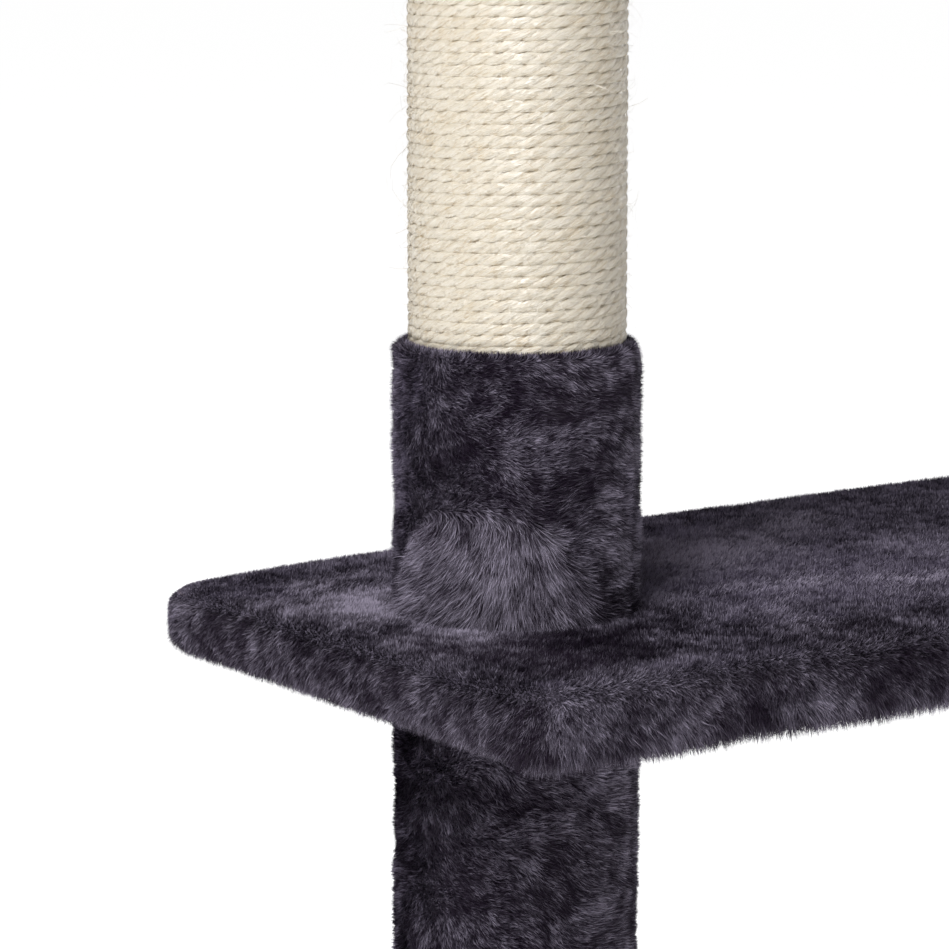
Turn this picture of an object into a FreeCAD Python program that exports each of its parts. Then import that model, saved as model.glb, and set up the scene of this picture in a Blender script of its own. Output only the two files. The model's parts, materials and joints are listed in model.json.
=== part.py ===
import FreeCAD, Part
import os

# A free-standing two-column cat tree: a plush-covered base, a long plush-covered
# shelf that both columns carry at one height, and a perch on top of the left column.
# Units are millimetres. +X runs along the shelf, +Y is the back, +Z is up, and the
# origin is on the floor in the middle of the base.

Vector = FreeCAD.Vector

# Posts: a cardboard tube with a fibreboard plug in each end.
TUBE_R = 38.0
TUBE_WALL = 4.0
PLUG_LENGTH = 18.0
PLUSH_POST_R = 48.0
ROPE_PITCH = 4.36
SISAL_R = 42.0
COLLAR_LENGTH = 113.0
COLLAR_EDGE = 3.0
LOWER_POST_LENGTH = 350.0
UPPER_POST_LENGTH = 450.0
POST_SPACING = 436.0
POST_HOLE_GAP = 0.4

# Boards, before the plush goes round them.
BASE_BOARD = (608.0, 408.0, 18.0)
SHELF_BOARD = (600.0, 250.0, 15.0)
PERCH_BOARD = (340.0, 300.0, 15.0)
BOARD_CORNER = 14.0
POST_TO_BOARD_END = 82.0
FOAM_THICKNESS = 10.0

# Plush, as it stands off the boards.
PILE_SIDE = 5.5
PILE_TOP = 6.0
PILE_UNDER = 9.0
BASE_UNDER = 3.0
PILE_EDGE = 9.0
HEM_WIDTH = 40.0
UNDERLAY_THICKNESS = 1.5
UNDERLAY_GAP = 0.5

# M8 fasteners.
M8_R = 4.0
THREAD_CHAMFER = 0.8
CLEARANCE_R = 4.5
STUD_REACH = 21.0
INSERT_FLANGE_R = 11.0
INSERT_FLANGE = 1.5
INSERT_BARREL_R = 5.0
INSERT_BARREL = 10.0
PRONG = (1.2, 3.0, 5.0)
PRONG_CIRCLE_R = 9.0
BOLT_HEAD_FLATS = 13.0
BOLT_HEAD = 5.3
WASHER_R = 12.0
WASHER_THICKNESS = 1.6
COUNTERBORE_R = 13.0
COUNTERBORE_DEPTH = 9.0

# Staples.
STAPLE_WIRE = 0.9
STAPLE_CROWN = 10.0
STAPLE_LEG = 8.0
STAPLE_INSET = 7.0
STAPLE_SPACING = 62.0

LEFT_X = -POST_SPACING / 2
RIGHT_X = POST_SPACING / 2
BASE_Z = BASE_UNDER
LOWER_POST_Z = BASE_Z + BASE_BOARD[2]
SHELF_Z = LOWER_POST_Z + LOWER_POST_LENGTH
UPPER_POST_Z = SHELF_Z + SHELF_BOARD[2]
PERCH_Z = UPPER_POST_Z + UPPER_POST_LENGTH
PERCH_X = LEFT_X - POST_TO_BOARD_END + PERCH_BOARD[0] / 2

nodes = {}


def add(name, shape):
    """Keeps a finished piece, one solid or a group of them, under its node's name."""
    nodes[name] = shape


def cylinder(x, z, radius, height, y=0.0):
    return Part.makeCylinder(radius, height, Vector(x, y, z))


def ring(x, z, inner, outer, height):
    return cylinder(x, z, outer, height).cut(cylinder(x, z, inner, height))


def rims_at(body, z):
    """The level edges of a body that lie at one height."""
    return [e for e in body.Edges if e.BoundBox.ZLength < 0.01 and abs(e.BoundBox.ZMin - z) < 0.01]


def plate(centre_x, size_x, size_y, z, height, corner):
    """A flat plate with rounded corners."""
    low_corner = Vector(centre_x - size_x / 2, -size_y / 2, z)
    body = Part.makeBox(size_x, size_y, height, low_corner)
    upright = [e for e in body.Edges if abs(e.tangentAt(e.FirstParameter).z) > 0.9]
    return body.makeFillet(corner, upright)


def group(solids):
    return Part.makeCompound(solids)


# ---------------------------------------------------------------- fasteners


def insert_nut(x, z, up):
    """A pronged M8 insert. z is the flange's outer face; up is where the barrel points."""
    way = 1 if up else -1

    def stack(radius, start, height):
        low = z + start if up else z - start - height
        return cylinder(x, low, radius, height)

    nut = stack(INSERT_FLANGE_R, 0, INSERT_FLANGE)
    nut = nut.fuse(stack(INSERT_BARREL_R, 0, INSERT_BARREL))
    for quarter in range(4):
        low = Vector(PRONG_CIRCLE_R - PRONG[0] / 2, -PRONG[1] / 2, 0)
        prong = Part.makeBox(PRONG[0], PRONG[1], PRONG[2] + INSERT_FLANGE, low)
        prong.rotate(Vector(0, 0, 0), Vector(0, 0, 1), 45 + 90 * quarter)
        drop = 0 if way > 0 else -(PRONG[2] + INSERT_FLANGE)
        prong.translate(Vector(x, 0, z + drop))
        nut = nut.fuse(prong)
    nut = nut.cut(stack(M8_R, 0, INSERT_BARREL))
    return nut.removeSplitter()


def stud(x, low, high):
    """Plain M8 threaded rod with chamfered ends."""
    rod = cylinder(x, low, M8_R, high - low)
    return rod.makeChamfer(THREAD_CHAMFER, rims_at(rod, low) + rims_at(rod, high))


def hex_bolt(x, seat, length):
    """An M8 hex bolt that points up, with its head under seat."""
    across = BOLT_HEAD_FLATS / 2 / 0.8660254
    corners = []
    spoke = Vector(across, 0, 0)
    turn = FreeCAD.Rotation(Vector(0, 0, 1), 60)
    for _ in range(6):
        corners.append(spoke + Vector(x, 0, seat - BOLT_HEAD))
        spoke = turn.multVec(spoke)
    outline = Part.makePolygon(corners + corners[:1])
    head = Part.Face(outline).extrude(Vector(0, 0, BOLT_HEAD))
    shank = cylinder(x, seat, M8_R, length)
    return head.fuse(shank.makeChamfer(THREAD_CHAMFER, rims_at(shank, seat + length)))


def staple(x, y, face_z, along_x):
    """A staple driven up through an underlay whose lower face is at face_z."""
    wire, half = STAPLE_WIRE, STAPLE_CROWN / 2
    crown = Part.makeBox(2 * half, wire, wire, Vector(-half, -wire / 2, -wire))
    legs = [
        Part.makeBox(wire, wire, STAPLE_LEG, Vector(start, -wire / 2, -wire / 2))
        for start in (-half, half - wire)
    ]
    body = crown.fuse(legs).removeSplitter()
    if not along_x:
        body.rotate(Vector(0, 0, 0), Vector(0, 0, 1), 90)
    body.translate(Vector(x, y, face_z))
    return body


def staple_row(centre_x, size_x, size_y, face_z, keep_clear):
    """Staples round the edge of an underlay, none within reach of a post or bolt."""
    reach_x = size_x / 2 - STAPLE_INSET
    reach_y = size_y / 2 - STAPLE_INSET
    spots = []
    for reach, other, along_x in ((reach_x, reach_y, True), (reach_y, reach_x, False)):
        count = max(2, round(2 * (reach - STAPLE_CROWN) / STAPLE_SPACING) + 1)
        first = -(reach - STAPLE_CROWN)
        step = -2 * first / (count - 1)
        for i in range(count):
            for side in (-1, 1):
                place = (first + i * step, side * other)
                spots.append((place if along_x else place[::-1], along_x))
    row = []
    for (dx, dy), along_x in spots:
        x, y = centre_x + dx, dy
        if all((x - cx) ** 2 + y**2 > (r + STAPLE_CROWN) ** 2 for cx, r in keep_clear):
            row.append(staple(x, y, face_z, along_x))
    return row


# ---------------------------------------------------------------- boards


def covered_board(name, centre_x, board_size, z, under, above=0.0):
    """A board's plain plate, its plush envelope and the opening the hem leaves below.

    above is the thickness of the foam on top of the board."""
    size_x, size_y, thickness = board_size
    plain = plate(centre_x, size_x, size_y, z, thickness, BOARD_CORNER)
    low, high = z - under, z + thickness + above + PILE_TOP
    wide, deep = size_x + 2 * PILE_SIDE, size_y + 2 * PILE_SIDE
    outer = plate(centre_x, wide, deep, low, high - low, BOARD_CORNER + PILE_SIDE)
    outer = outer.makeFillet(PILE_EDGE, rims_at(outer, high))
    outer = outer.makeFillet(min(PILE_EDGE, under - 0.5), rims_at(outer, low))
    inside = plate(centre_x, size_x, size_y, z, thickness + above, BOARD_CORNER)
    open_x, open_y = size_x - 2 * HEM_WIDTH, size_y - 2 * HEM_WIDTH
    opening = plate(centre_x, open_x, open_y, z - under, under, BOARD_CORNER)
    cover = outer.cut(inside).cut(opening)
    return plain, cover, (open_x - 2 * UNDERLAY_GAP, open_y - 2 * UNDERLAY_GAP)


def underlay_sheet(centre_x, size, z, thickness, holes):
    """The felt sheet inside the hem, its upper face against the board at z."""
    sheet = plate(centre_x, size[0], size[1], z - thickness, thickness, BOARD_CORNER)
    for x, radius in holes:
        sheet = sheet.cut(cylinder(x, z - thickness, radius, thickness))
    return sheet


def make_base():
    size_x, size_y, thickness = BASE_BOARD
    board, cover, open_size = covered_board("base", 0.0, BASE_BOARD, BASE_Z, BASE_UNDER)
    sheet_holes = [(x, COUNTERBORE_R) for x in (LEFT_X, RIGHT_X)]
    sheet = underlay_sheet(0.0, open_size, BASE_Z, BASE_UNDER, sheet_holes)
    staples = staple_row(0.0, *open_size, STAPLE_WIRE, sheet_holes)
    bolts, washers = [], []
    seat = BASE_Z + COUNTERBORE_DEPTH
    for x in (LEFT_X, RIGHT_X):
        board = board.cut(cylinder(x, BASE_Z, COUNTERBORE_R, COUNTERBORE_DEPTH))
        board = board.cut(cylinder(x, BASE_Z, CLEARANCE_R, thickness))
        cover = cover.cut(
            cylinder(x, BASE_Z + thickness, PLUSH_POST_R + POST_HOLE_GAP, PILE_TOP)
        )
        washer_z = seat - WASHER_THICKNESS
        washers.append(ring(x, washer_z, CLEARANCE_R, WASHER_R, WASHER_THICKNESS))
        reach = WASHER_THICKNESS + thickness - COUNTERBORE_DEPTH + STUD_REACH
        bolts.append(hex_bolt(x, washer_z, reach))
    add("base_board", board.cut(group(staples)))
    add("base_cover", cover)
    add("base_underlay", sheet.cut(group(staples)))
    add("base_staples", group(staples))
    add("base_bolts", group(bolts))
    add("base_washers", group(washers))


def make_shelf():
    size_x, size_y, thickness = SHELF_BOARD
    board, cover, open_size = covered_board("shelf", 0.0, SHELF_BOARD, SHELF_Z, PILE_UNDER)
    top = SHELF_Z + thickness
    post_hole = PLUSH_POST_R + POST_HOLE_GAP
    below = [(x, post_hole) for x in (LEFT_X, RIGHT_X)]
    for x, radius in below:
        cover = cover.cut(cylinder(x, SHELF_Z - PILE_UNDER, radius, PILE_UNDER))
    cover = cover.cut(cylinder(LEFT_X, top, post_hole, PILE_TOP))
    board = board.cut(cylinder(LEFT_X, SHELF_Z, CLEARANCE_R, thickness))
    board, nut = fit_insert(board, RIGHT_X, top, SHELF_Z)
    sheet = underlay_sheet(0.0, open_size, SHELF_Z, UNDERLAY_THICKNESS, below)
    staples = staple_row(0.0, *open_size, SHELF_Z - UNDERLAY_THICKNESS, below)
    add("shelf_board", board.cut(group(staples)))
    add("shelf_cover", cover)
    add("shelf_underlay", sheet.cut(group(staples)))
    add("shelf_staples", group(staples))
    add("shelf_insert", nut)
    add("shelf_joining_stud", stud(LEFT_X, SHELF_Z - STUD_REACH, top + STUD_REACH))
    add("shelf_end_stud", stud(RIGHT_X, SHELF_Z - STUD_REACH, top - INSERT_FLANGE))


def make_perch():
    size_x, size_y, thickness = PERCH_BOARD
    board, cover, open_size = covered_board(
        "perch", PERCH_X, PERCH_BOARD, PERCH_Z, PILE_UNDER, FOAM_THICKNESS
    )
    top = PERCH_Z + thickness
    below = [(LEFT_X, PLUSH_POST_R + POST_HOLE_GAP)]
    cover = cover.cut(cylinder(LEFT_X, PERCH_Z - PILE_UNDER, below[0][1], PILE_UNDER))
    board, nut = fit_insert(board, LEFT_X, top, PERCH_Z)
    sheet = underlay_sheet(PERCH_X, open_size, PERCH_Z, UNDERLAY_THICKNESS, below)
    staples = staple_row(PERCH_X, *open_size, PERCH_Z - UNDERLAY_THICKNESS, below)
    foam = plate(PERCH_X, size_x, size_y, top, FOAM_THICKNESS, BOARD_CORNER)
    add("perch_board", board.cut(group(staples)))
    add("perch_foam", foam)
    add("perch_cover", cover)
    add("perch_underlay", sheet.cut(group(staples)))
    add("perch_staples", group(staples))
    add("perch_insert", nut)
    add("perch_stud", stud(LEFT_X, PERCH_Z - STUD_REACH, top - INSERT_FLANGE))


def fit_insert(wood, x, flange_face, bottom):
    """Sinks an insert into a board's top, barrel down, and returns both."""
    nut = insert_nut(x, flange_face, up=False)
    wood = wood.cut(cylinder(x, bottom, INSERT_BARREL_R, flange_face - bottom))
    return wood.cut(nut), nut


# ---------------------------------------------------------------- posts


def make_post_core(name, x, z, length):
    """The tube, its two end plugs and the insert behind each plug."""
    add(name + "_tube", ring(x, z, TUBE_R - TUBE_WALL, TUBE_R, length))
    plugs, nuts = [], []
    for low, flange_face, up in (
        (z, z + PLUG_LENGTH + INSERT_FLANGE, False),
        (z + length - PLUG_LENGTH, z + length - PLUG_LENGTH - INSERT_FLANGE, True),
    ):
        nut = insert_nut(x, flange_face, up)
        plug = ring(x, low, INSERT_BARREL_R, TUBE_R - TUBE_WALL, PLUG_LENGTH)
        plugs.append(plug.cut(nut))
        nuts.append(nut)
    add(name + "_plugs", group(plugs))
    add(name + "_inserts", group(nuts))


def plush_sleeve(x, z, length):
    """A plush tube round a post, its two rims softened."""
    sleeve = cylinder(x, z, PLUSH_POST_R, length)
    rims = rims_at(sleeve, z) + rims_at(sleeve, z + length)
    sleeve = sleeve.makeFillet(COLLAR_EDGE, rims)
    return sleeve.cut(cylinder(x, z, TUBE_R, length))


def sisal_wrap(x, z, length):
    """Rope wound turn against turn: a sleeve with one rounded bead for each turn."""
    turns = round(length / ROPE_PITCH)
    pitch = length / turns
    middle = SISAL_R - pitch / 2
    outline = []
    for turn in range(turns):
        low = z + turn * pitch
        outline.append(
            Part.Arc(
                Vector(middle, 0, low),
                Vector(SISAL_R, 0, low + pitch / 2),
                Vector(middle, 0, low + pitch),
            ).toShape()
        )
    inner = [Vector(middle, 0, z + length), Vector(TUBE_R, 0, z + length)]
    inner += [Vector(TUBE_R, 0, z), Vector(middle, 0, z)]
    outline += [Part.makeLine(a, b) for a, b in zip(inner, inner[1:])]
    section = Part.Face(Part.Wire(outline))
    wrap = section.revolve(Vector(0, 0, 0), Vector(0, 0, 1), 360)
    wrap.translate(Vector(x, 0, 0))
    return Part.makeSolid(wrap.Shells[0]) if not wrap.Solids else wrap.Solids[0]


def make_roped_post(name, x, z, length):
    """A post with a plush collar at each end and sisal between them."""
    make_post_core(name, x, z, length)
    bare = length - 2 * COLLAR_LENGTH
    add(name + "_lower_collar", plush_sleeve(x, z, COLLAR_LENGTH))
    add(name + "_sisal", sisal_wrap(x, z + COLLAR_LENGTH, bare))
    add(name + "_upper_collar", plush_sleeve(x, z + length - COLLAR_LENGTH, COLLAR_LENGTH))


def make_plush_post(name, x, z, length):
    """A post with one plush sleeve over its whole height."""
    make_post_core(name, x, z, length)
    add(name + "_cover", plush_sleeve(x, z, length))


def main():
    make_base()
    make_shelf()
    make_perch()
    make_plush_post("left_lower_post", LEFT_X, LOWER_POST_Z, LOWER_POST_LENGTH)
    make_roped_post("left_upper_post", LEFT_X, UPPER_POST_Z, UPPER_POST_LENGTH)
    make_roped_post("right_post", RIGHT_X, LOWER_POST_Z, LOWER_POST_LENGTH)

    os.makedirs("parts", exist_ok=True)
    whole = FreeCAD.BoundBox()
    for name, shape in nodes.items():
        if not shape.isValid() or any(s.Volume <= 0 for s in shape.Solids):
            raise ValueError(name + " isn't a sound solid")
        shape.exportStep("parts/" + name + ".step")
        whole.add(shape.BoundBox)
        print(f"{name}: {len(shape.Solids)} solid(s), {shape.Volume / 1000:.1f} cm3")
    print(len(nodes), "nodes,", [round(v, 2) for v in (whole.XMin, whole.XMax)], end=" ")
    print([round(v, 2) for v in (whole.YMin, whole.YMax, whole.ZMin, whole.ZMax)])


main()
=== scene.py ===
import json
import math

import bmesh
import bpy
import numpy as np
from bpy.props import FloatProperty, FloatVectorProperty, IntProperty, PointerProperty
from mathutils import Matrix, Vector, noise


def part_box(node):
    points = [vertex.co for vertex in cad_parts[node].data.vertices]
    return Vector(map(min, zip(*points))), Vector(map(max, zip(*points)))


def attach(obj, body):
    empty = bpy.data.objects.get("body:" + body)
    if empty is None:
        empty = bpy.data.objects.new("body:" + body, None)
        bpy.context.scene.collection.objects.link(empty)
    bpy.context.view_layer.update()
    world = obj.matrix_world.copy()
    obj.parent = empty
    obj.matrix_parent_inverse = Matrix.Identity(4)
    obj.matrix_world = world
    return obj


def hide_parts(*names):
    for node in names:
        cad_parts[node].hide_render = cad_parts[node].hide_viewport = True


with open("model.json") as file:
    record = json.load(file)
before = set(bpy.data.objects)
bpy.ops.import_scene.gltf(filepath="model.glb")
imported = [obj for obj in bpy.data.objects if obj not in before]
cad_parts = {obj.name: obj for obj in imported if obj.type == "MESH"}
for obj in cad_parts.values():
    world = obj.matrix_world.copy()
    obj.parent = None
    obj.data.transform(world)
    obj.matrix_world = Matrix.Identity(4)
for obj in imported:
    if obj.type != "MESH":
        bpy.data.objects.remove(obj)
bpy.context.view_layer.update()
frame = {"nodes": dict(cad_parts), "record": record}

bl_info = {
    "name": "Cat tree finishing",
    "version": (1, 0, 0),
    "blender": (4, 5, 0),
    "location": "3D View > Sidebar > Cat Tree",
    "description": "Dresses the bare cat tree in plush and sisal, and sets it in a plain studio",
    "category": "Object",
}

MM = 0.001
BODY = "root"
LEFT_POST = "left_upper_post"


def half_across(node):
    """Half a node's size along X, which is a round post's radius."""
    low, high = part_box(node)
    return (high.x - low.x) / 2


POST_R = half_across(LEFT_POST + "_lower_collar")
TUBE_R = half_across(LEFT_POST + "_tube")
ROPE_HALF_DEPTH = 1.85 * MM
ROPE_OVERLAP = 1.33
ROPED_R = TUBE_R + 3.6 * MM
FAN_HEIGHT = 50 * MM
HEM_WIDTH = 40 * MM
BOARD_UNDER = 9 * MM
BASE_UNDER = 3 * MM
PERCH_CROWN = 4 * MM
BOARD_PLUSH_EDGE = 9 * MM
BOARD_PLUSH_CORNER = 17 * MM

# ------------------------------------------------------------------ settings


class CATTREE_PG_plush(bpy.types.PropertyGroup):
    """Sizes and colours of the plush."""

    pile_length: FloatProperty(
        name="Pile length", description="Length of a fibre tuft",
        default=8.5 * MM, min=0.001, unit="LENGTH", precision=4,
    )
    tuft_width: FloatProperty(
        name="Tuft width", description="Width of a fine tuft at its root",
        default=0.44 * MM, min=0.0001, unit="LENGTH", precision=5,
    )
    fine_density: FloatProperty(
        name="Fine density", description="Tufts on a square millimetre where the pile is seen close",
        default=7.2, min=0.05, max=12.0,
    )
    coarse_density: FloatProperty(
        name="Coarse density", description="Tufts on a square millimetre elsewhere",
        default=0.80, min=0.05, max=4.0,
    )
    coarse_width: FloatProperty(
        name="Coarse width", description="Width of a tuft at its root where the pile is coarse",
        default=1.15 * MM, min=0.0001, unit="LENGTH", precision=5,
    )
    stand_off: FloatProperty(
        name="Backing depth", description="Depth of the backing under the pile's outer face",
        default=3.2 * MM, min=0.0, unit="LENGTH", precision=4,
    )
    seed: IntProperty(name="Seed", description="Seed of the scattered tufts", default=7)
    dark: FloatVectorProperty(
        name="Dark fibre", description="Colour of the darkest tufts", subtype="COLOR",
        size=3, default=(0.0124, 0.0058, 0.0170), min=0.0, max=1.0,
    )
    light: FloatVectorProperty(
        name="Light fibre", description="Colour of the lightest tufts", subtype="COLOR",
        size=3, default=(0.448, 0.402, 0.522), min=0.0, max=1.0,
    )


class CATTREE_PG_rope(bpy.types.PropertyGroup):
    """Sizes and colours of the sisal rope."""

    pitch: FloatProperty(
        name="Pitch", description="Height of one turn on the post",
        default=4.36 * MM, min=0.002, unit="LENGTH", precision=5,
    )
    lay: FloatProperty(
        name="Lay", description="Length of rope in which a strand goes round once",
        default=25.0 * MM, min=0.005, unit="LENGTH", precision=4,
    )
    steps: IntProperty(name="Steps", description="Points of the rope on each turn", default=144)
    tuck: FloatProperty(
        name="Tuck", description="How far the rope goes under a collar",
        default=9.0 * MM, min=0.0, unit="LENGTH", precision=4,
    )
    pale: FloatVectorProperty(
        name="Pale fibre", description="Colour of the strands' crests", subtype="COLOR",
        size=3, default=(0.70, 0.63, 0.50), min=0.0, max=1.0,
    )
    # deep is painted shade: the colour put in the valleys between strands and the grooves between turns.
    deep: FloatVectorProperty(
        name="Deep fibre", description="Colour between strands and turns", subtype="COLOR",
        size=3, default=(0.38, 0.25, 0.10), min=0.0, max=1.0,
    )


class CATTREE_PG_studio(bpy.types.PropertyGroup):
    """The camera and lights."""

    lens: FloatProperty(name="Lens", description="Focal length in millimetres", default=158.3)
    distance: FloatProperty(
        name="Distance", description="Level distance from the camera to the left column",
        default=1.575, min=0.2, unit="LENGTH",
    )
    rise: FloatProperty(
        name="Rise", description="Height of the camera above the shelf's plush",
        default=0.325, unit="LENGTH",
    )
    sideways: FloatProperty(
        name="Sideways", description="How far the column stands left of the camera's axis",
        default=0.0162, unit="LENGTH",
    )
    turn: FloatProperty(
        name="Turn", description="Angle between the view and the tree's depth",
        default=math.radians(-35.2), subtype="ANGLE",
    )
    pitch: FloatProperty(
        name="Pitch", description="Angle of the view below the horizon",
        default=math.radians(9.9), subtype="ANGLE",
    )
    key_power: FloatProperty(name="Key", description="Power of the large soft light", default=47.0)
    room_light: FloatProperty(name="Room", description="Strength of the white room", default=0.15)


# ------------------------------------------------------------------ node helpers


def feed(tree, socket, value):
    """Links a socket to value, or sets it where value is a plain one."""
    if isinstance(value, bpy.types.NodeSocket):
        tree.links.new(value, socket)
    else:
        socket.default_value = value


def add_node(tree, kind, *values, **settings):
    """A new node; values are (input, number or socket) pairs."""
    node = tree.nodes.new(kind)
    for name, value in settings.items():
        setattr(node, name, value)
    for name, value in values:
        feed(tree, node.inputs[name], value)
    return node


def calc(tree, operation, *values, clamp=False):
    """A Math node's result."""
    pairs = list(enumerate(values))
    return add_node(tree, "ShaderNodeMath", *pairs, operation=operation, use_clamp=clamp).outputs[0]


def vector_calc(tree, operation, *values, scale=None):
    """A Vector Math node's result."""
    node = add_node(tree, "ShaderNodeVectorMath", *enumerate(values), operation=operation)
    if scale is not None:
        feed(tree, node.inputs["Scale"], scale)
    return node.outputs["Value" if operation in ("DOT_PRODUCT", "LENGTH") else "Vector"]


def mix_colour(tree, share, first, second, blend="MIX"):
    """A colour Mix node's result."""
    node = tree.nodes.new("ShaderNodeMix")
    node.data_type, node.blend_type = "RGBA", blend
    feed(tree, node.inputs[0], share)
    for index, colour in ((6, first), (7, second)):
        solid = colour if isinstance(colour, bpy.types.NodeSocket) else (*colour, 1.0)
        feed(tree, node.inputs[index], solid)
    return node.outputs[2]


def spread(tree, value, low, high, new_low=0.0, new_high=1.0):
    """value's stretch from low to high, brought to new_low to new_high."""
    pairs = enumerate((value, low, high, new_low, new_high))
    node = add_node(tree, "ShaderNodeMapRange", *pairs, clamp=True)
    return node.outputs[0]


def new_material(name):
    """(material, its node tree, its Principled shader)."""
    material = bpy.data.materials.new(name)
    material.use_nodes = True
    tree = material.node_tree
    return material, tree, tree.nodes["Principled BSDF"]


def new_group(name, kind, inputs, outputs):
    """A node group, its input node and its output node, with named sockets."""
    group = bpy.data.node_groups.new(name, kind)
    for way, sockets in (("INPUT", inputs), ("OUTPUT", outputs)):
        for label, socket_type, *default in sockets:
            socket = group.interface.new_socket(label, in_out=way, socket_type=socket_type)
            if default:
                socket.default_value = default[0]
    return group, group.nodes.new("NodeGroupInput"), group.nodes.new("NodeGroupOutput")


# ------------------------------------------------------------------ shared shader groups


def speckle_group():
    """Fine and coarse mottling of a fibrous or pressed surface, in the piece's own place."""
    name = "Fibre speckle"
    if name in bpy.data.node_groups:
        return bpy.data.node_groups[name]
    group, given, result = new_group(
        name, "ShaderNodeTree",
        [("Fine scale", "NodeSocketFloat", 900.0), ("Coarse scale", "NodeSocketFloat", 60.0),
         ("Stretch", "NodeSocketVector", (1.0, 1.0, 1.0))],
        [("Fine", "NodeSocketFloat"), ("Coarse", "NodeSocketFloat")],
    )
    place = group.nodes.new("ShaderNodeTexCoord").outputs["Object"]
    place = vector_calc(group, "MULTIPLY", place, given.outputs["Stretch"])
    for label, detail in (("Fine", 3.0), ("Coarse", 4.0)):
        texture = add_node(
            group, "ShaderNodeTexNoise", ("Vector", place),
            ("Scale", given.outputs[label + " scale"]), ("Detail", detail),
        )
        group.links.new(spread(group, texture.outputs["Fac"], 0.3, 0.7), result.inputs[label])
    return group


def place_speckle(tree, fine, coarse, stretch=(1.0, 1.0, 1.0)):
    """The speckle group's node in a material."""
    node = tree.nodes.new("ShaderNodeGroup")
    node.node_tree = speckle_group()
    node.inputs["Fine scale"].default_value = fine
    node.inputs["Coarse scale"].default_value = coarse
    node.inputs["Stretch"].default_value = stretch
    return node


def bumped(tree, shader, height, strength, distance):
    """Feeds a height to the shader's normal through a Bump node."""
    bump = add_node(
        tree, "ShaderNodeBump", ("Height", height), ("Strength", strength), ("Distance", distance)
    )
    tree.links.new(bump.outputs["Normal"], shader.inputs["Normal"])


# ------------------------------------------------------------------ materials


def pile_material(plush):
    """Fibre tufts: the UV map's first axis is a tuft's tone, the second runs root to tip. Tufts darken
    towards the root, a painted shade deep in the pile.
    """
    if "plush_pile" in bpy.data.materials:
        return bpy.data.materials["plush_pile"]
    material, tree, shader = new_material("plush_pile")
    place = add_node(tree, "ShaderNodeUVMap", uv_map="OFBake").outputs["UV"]
    parts = add_node(tree, "ShaderNodeSeparateXYZ", (0, place))
    tone, along = parts.outputs["X"], parts.outputs["Y"]
    colour = mix_colour(tree, calc(tree, "POWER", tone, 1.9), plush.dark, plush.light)
    # Painted shade: each tuft's colour falls to 0.35 of itself at the root, for the shadow deep in the
    # pile.
    roots = mix_colour(tree, spread(tree, along, 0.0, 0.75, 0.35, 1.0), (0, 0, 0), colour)
    tree.links.new(roots, shader.inputs["Base Color"])
    shader.inputs["Roughness"].default_value = 0.55
    shader.inputs["Specular IOR Level"].default_value = 0.18
    shader.inputs["Sheen Weight"].default_value = 0.08
    shader.inputs["Sheen Roughness"].default_value = 0.45
    shader.inputs["Sheen Tint"].default_value = (0.62, 0.52, 0.74, 1.0)
    return material


def backing_material(plush):
    """The shaded depth of the plush between its tufts."""
    if "plush_depth" in bpy.data.materials:
        return bpy.data.materials["plush_depth"]
    material, tree, shader = new_material("plush_depth")
    speckle = place_speckle(tree, 1400.0, 45.0)
    low = mix_colour(tree, 0.12, plush.dark, plush.light)
    high = mix_colour(tree, 0.38, plush.dark, plush.light)
    share = calc(tree, "MULTIPLY", speckle.outputs["Fine"], speckle.outputs["Coarse"])
    tree.links.new(mix_colour(tree, share, low, high), shader.inputs["Base Color"])
    shader.inputs["Roughness"].default_value = 0.9
    shader.inputs["Specular IOR Level"].default_value = 0.15
    shader.inputs["Sheen Weight"].default_value = 0.3
    shader.inputs["Sheen Tint"].default_value = (0.62, 0.56, 0.74, 1.0)
    bumped(tree, shader, speckle.outputs["Fine"], 0.8, 1.2 * MM)
    return material


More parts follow.
